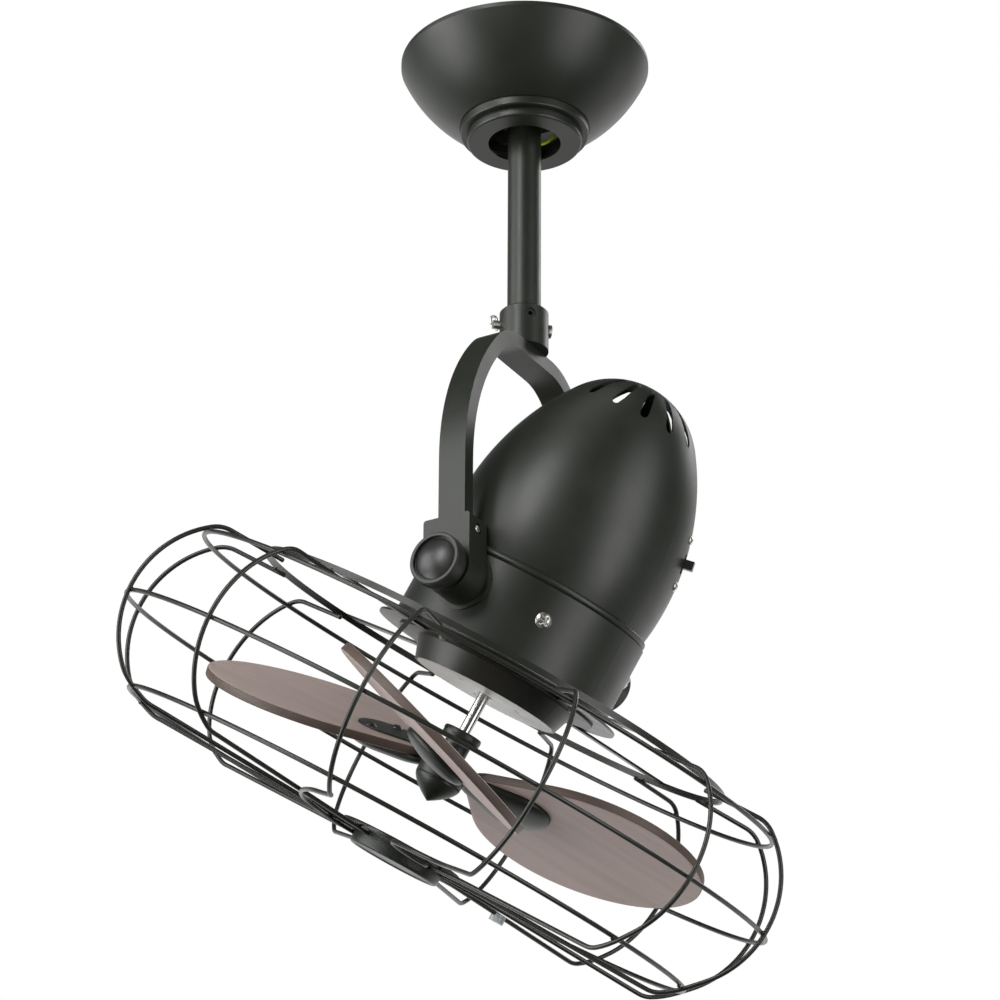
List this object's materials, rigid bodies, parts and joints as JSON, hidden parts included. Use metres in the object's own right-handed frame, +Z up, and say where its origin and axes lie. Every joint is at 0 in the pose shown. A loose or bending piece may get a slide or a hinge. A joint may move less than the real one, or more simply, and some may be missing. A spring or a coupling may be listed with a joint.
{
  "type": "ceiling fan",
  "caption": "Hanging fan with a tilting bullet-shaped motor head in a yoke, pitched wooden blades inside a round wire cage, and a dished ceiling canopy.",
  "frame": {"origin": "centre of the ceiling face, on the downrod's axis", "axes": "+Z up into the ceiling; Y along the head's tilt axis, with the near knob towards -Y; the head's nose leans towards +X at rest"},
  "size_m": [0.4085, 0.4598, 0.6517],
  "materials": {
    "black_paint": "satin black powder coat",
    "dark_steel": "satin black coated wire",
    "zinc_steel": "zinc plated",
    "bright_steel": "polished",
    "pale_plate": "pale grey coat",
    "cast_alloy": "as cast",
    "lamination": "laminated",
    "enamelled_copper": "enamelled wire",
    "black_plastic": "moulded black",
    "ivory_plastic": "moulded ivory",
    "clear_plastic": "clear",
    "wire_green": "green and yellow insulation",
    "rubber": "matt",
    "walnut": "greyed brown stain"
  },
  "bodies": {
    "ceiling": {"ceiling_bracket": "zinc_steel", "terminal_block": "ivory_plastic", "earth_wire": "wire_green", "canopy": "black_paint", "canopy_screws": "zinc_steel", "canopy_trim_ring": "black_paint"},
    "hanger": {"hanger_ball": "black_plastic", "ball_pin": "zinc_steel", "downrod": "black_paint", "supply_cable": "rubber", "coupling": "black_paint", "clevis_pin": "zinc_steel", "r_clip": "zinc_steel", "set_screw": "dark_steel", "yoke": "black_paint", "yoke_wires": "rubber", "clamp_block_near": "black_paint", "clamp_block_far": "black_paint", "block_screws": "zinc_steel"},
    "head": {"bullet_shell": "black_paint", "lower_housing": "black_paint", "housing_screws": "zinc_steel", "motor_frame": "cast_alloy", "stator": "lamination", "windings": "enamelled_copper", "bearings": "bright_steel", "pivot_studs": "zinc_steel", "friction_washers": "rubber", "switch_body": "black_plastic", "switch_screws": "zinc_steel", "drum": "black_paint", "drum_screws": "zinc_steel", "underside_plate": "pale_plate", "cage_plate": "dark_steel", "cage_spokes": "dark_steel", "cage_band": "dark_steel", "cage_ring_top": "dark_steel", "cage_ring_middle": "dark_steel", "cage_ring_bottom": "dark_steel", "cage_rib_tops": "dark_steel", "cage_rib_sides": "dark_steel", "cage_rib_bottoms": "dark_steel", "cage_disc": "dark_steel", "cage_collar_ring": "dark_steel", "wire_clip": "clear_plastic"},
    "rotor": {"shaft": "bright_steel", "rotor_core": "lamination", "hub": "black_paint", "hub_screws": "dark_steel", "blade_irons": "black_paint", "blade_1": "walnut", "blade_2": "walnut", "blade_3": "walnut", "blade_screws": "zinc_steel", "spinner": "black_paint"},
    "switch": {"switch_slider": "black_plastic"},
    "near_knob": {"clamp_knob_near": "black_plastic"},
    "far_knob": {"clamp_knob_far": "black_plastic"}
  },
  "joints": [
    {"name": "rod_swing", "type": "hinge", "parent": "ceiling", "child": "hanger", "pos_m": [0, 0, -0.026], "axis": [0, 1, 0], "range_deg": [-15, 15]},
    {"name": "head_tilt", "type": "hinge", "parent": "hanger", "child": "head", "pos_m": [0, 0, -0.4112], "axis": [0, 1, 0], "range_deg": [-123, 57]},
    {"name": "rotor_spin", "type": "hinge", "parent": "head", "child": "rotor", "pos_m": [0, 0, -0.4112], "axis": [0.5446, 0, 0.8387], "continuous": true},
    {"name": "switch_slide", "type": "slide", "parent": "head", "child": "switch", "axis": [0.4055, -0.0761, 0.9109], "range_m": [-0.003, 0.003]},
    {"name": "near_knob_turn", "type": "hinge", "parent": "head", "child": "near_knob", "pos_m": [0, -0.1, -0.4112], "axis": [0, -1, 0], "range_deg": [-180, 180]},
    {"name": "far_knob_turn", "type": "hinge", "parent": "head", "child": "far_knob", "pos_m": [0, 0.1, -0.4112], "axis": [0, 1, 0], "range_deg": [-180, 180]}
  ]
}
